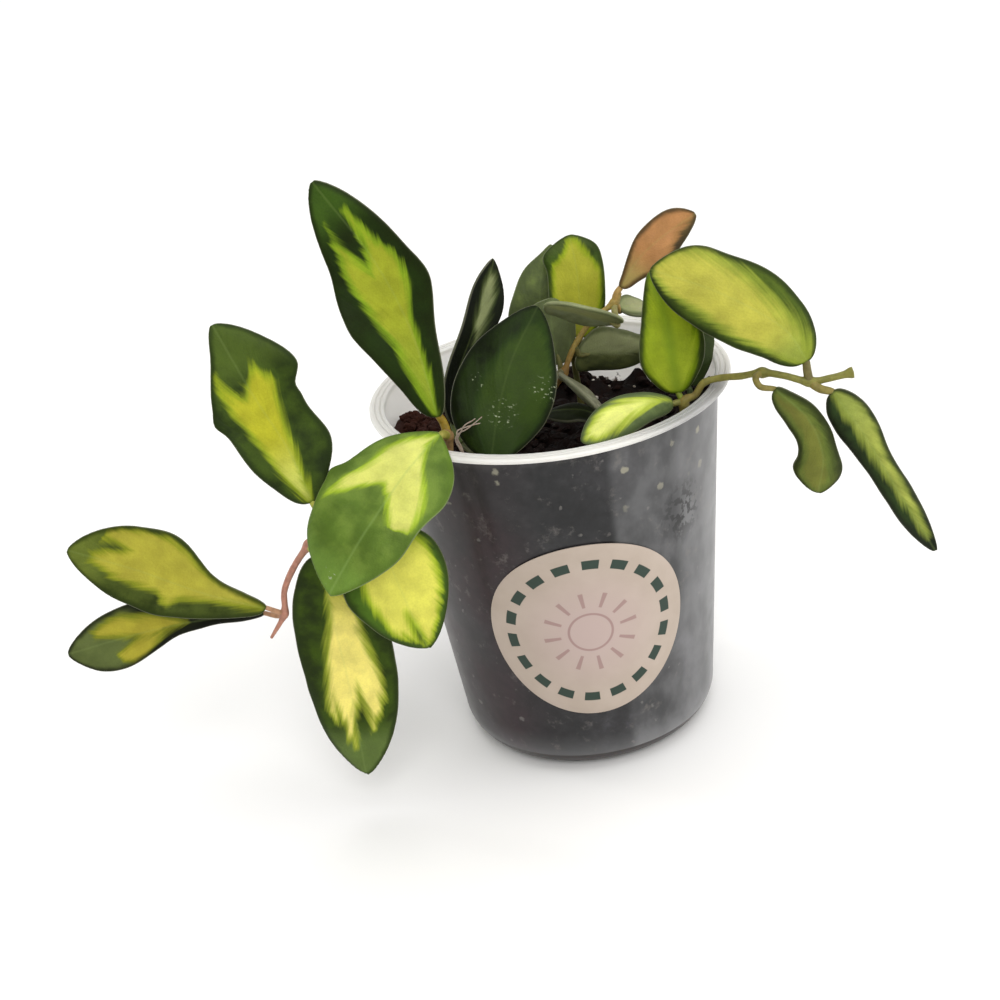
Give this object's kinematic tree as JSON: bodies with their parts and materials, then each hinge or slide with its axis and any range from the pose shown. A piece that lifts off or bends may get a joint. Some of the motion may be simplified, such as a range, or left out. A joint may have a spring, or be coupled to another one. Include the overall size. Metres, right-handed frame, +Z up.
{
  "type": "potted variegated hoya plant",
  "caption": "Young trailing hoya with thick lens-shaped variegated leaves on thin shoots, growing in a frosted round nursery pot with a round paper sticker.",
  "frame": {"origin": "middle of the flat underside of the pot", "axes": "+Z up; -Y is the front, where the sticker is; +X is to the right seen from the front"},
  "size_m": [0.2378, 0.1146, 0.1749],
  "materials": {
    "pot": "frosted translucent polypropylene, milky over dark compost, clearer white rim",
    "label": "matte coated paper sticker, pale pink beige",
    "soil": "damp coarse bark and peat compost with white perlite",
    "dry_root": "dry pale twig",
    "stem": "thin smooth shoot, olive to pinkish brown",
    "leaf_variegated": "thick waxy leaf, yellow centre with dark green margin, finely downy",
    "leaf_dark": "thick waxy leaf, dark green to grey green, finely downy",
    "leaf_copper": "young soft leaf, copper brown"
  },
  "bodies": {
    "root": {"dry_root": "dry_root", "label": "label", "leaf_arch": "leaf_variegated", "leaf_bud": "leaf_dark", "leaf_copper": "leaf_copper", "leaf_corner": "leaf_dark", "leaf_dark": "leaf_dark", "leaf_far_lower": "leaf_variegated", "leaf_far_upper": "leaf_variegated", "leaf_front": "leaf_variegated", "leaf_grey": "leaf_dark", "leaf_hanging": "leaf_variegated", "leaf_inner": "leaf_dark", "leaf_lime": "leaf_variegated", "leaf_long": "leaf_variegated", "leaf_low": "leaf_variegated", "leaf_narrow": "leaf_dark", "leaf_notched": "leaf_variegated", "leaf_rim": "leaf_variegated", "leaf_roof": "leaf_dark", "leaf_shade": "leaf_dark", "leaf_side": "leaf_dark", "leaf_slim": "leaf_dark", "leaf_tall": "leaf_variegated", "leaf_tucked": "leaf_variegated", "leaf_yellow": "leaf_variegated", "pot": "pot", "soil": "soil", "stem_back": "stem", "stem_centre": "stem", "stem_front": "stem", "stem_left": "stem", "stem_right": "stem", "stem_side": "stem"}
  },
  "joints": []
}
